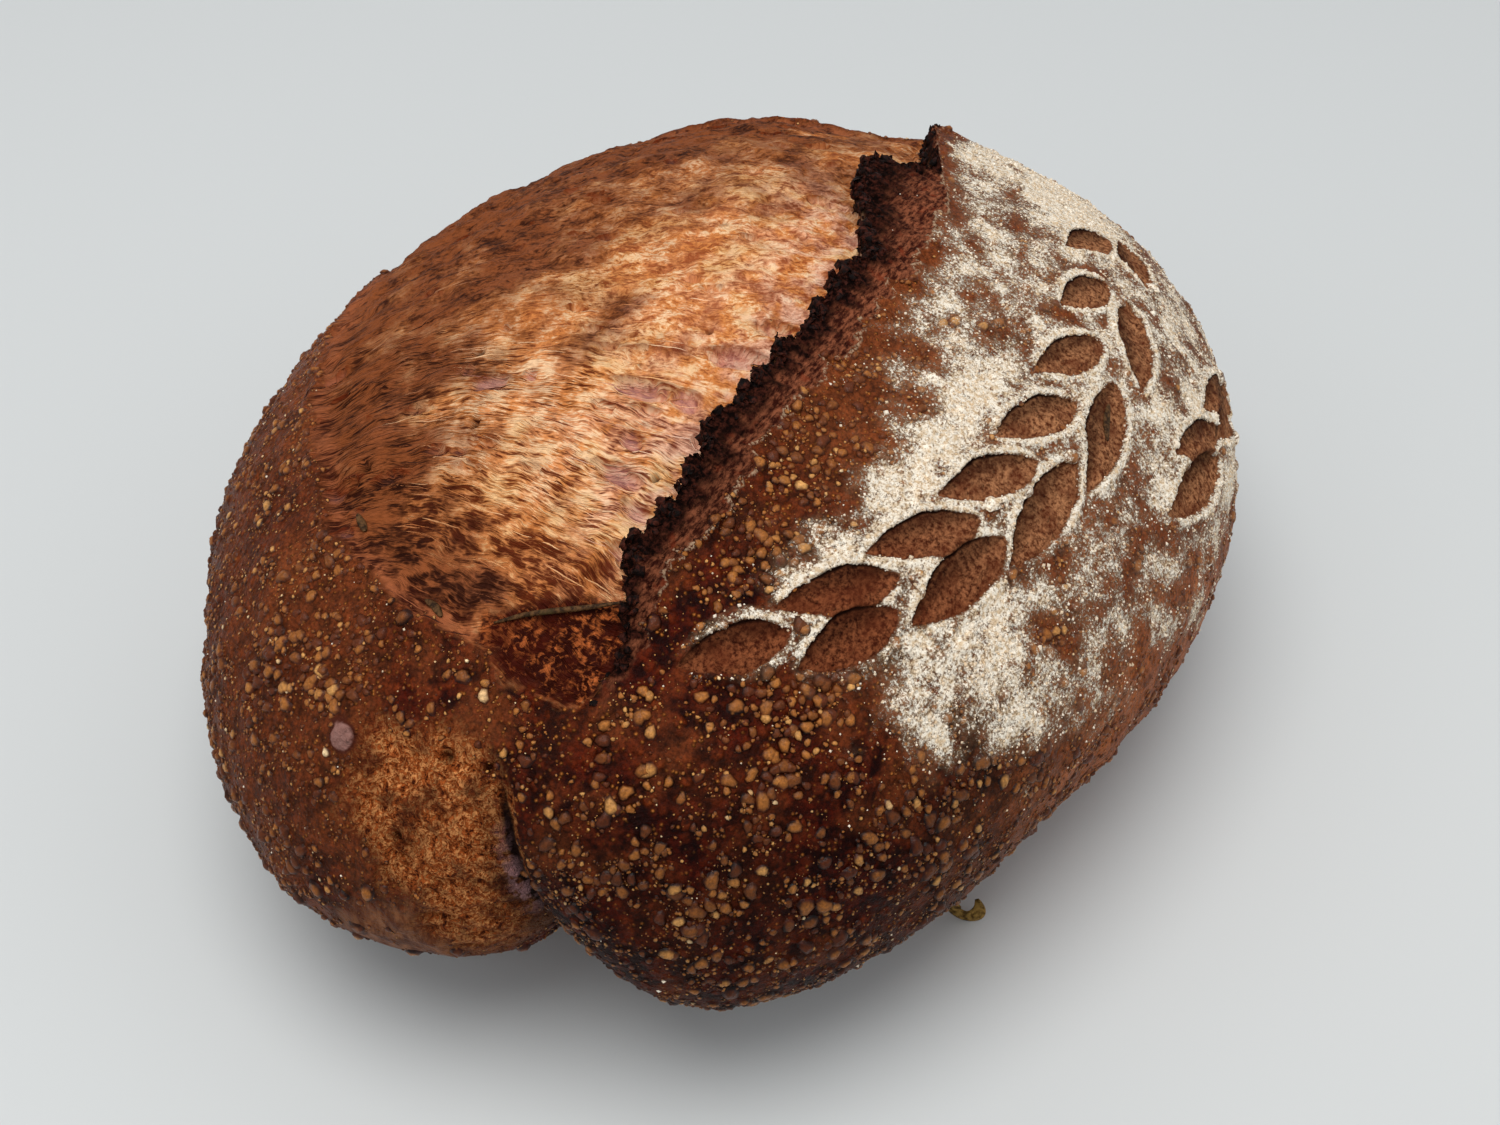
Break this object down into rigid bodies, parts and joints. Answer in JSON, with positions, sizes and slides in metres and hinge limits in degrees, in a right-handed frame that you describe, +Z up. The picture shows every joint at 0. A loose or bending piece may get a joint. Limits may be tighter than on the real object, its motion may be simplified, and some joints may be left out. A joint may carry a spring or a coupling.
{
  "type": "sourdough loaf",
  "caption": "Oval hearth-baked sourdough loaf with a torn bloom, a charred raised ear and a floured wheat pattern cut in its blistered crust; rests on its flat base.",
  "frame": {"origin": "middle of the loaf's bounding box, at the level of its flat base", "axes": "+X along the loaf, from its folded end to its far end; +Z up; the floured, patterned flank is at -Y and the open bloom at +Y"},
  "size_m": [0.2549, 0.2, 0.1126],
  "materials": {
    "crust": "baked bread crust: mahogany, blistered, matt to satin",
    "flour": "dry baked-on flour, matt cream",
    "herb": "baked rosemary needles, dull olive brown"
  },
  "bodies": {
    "root": {"loaf": "crust"}
  },
  "joints": []
}
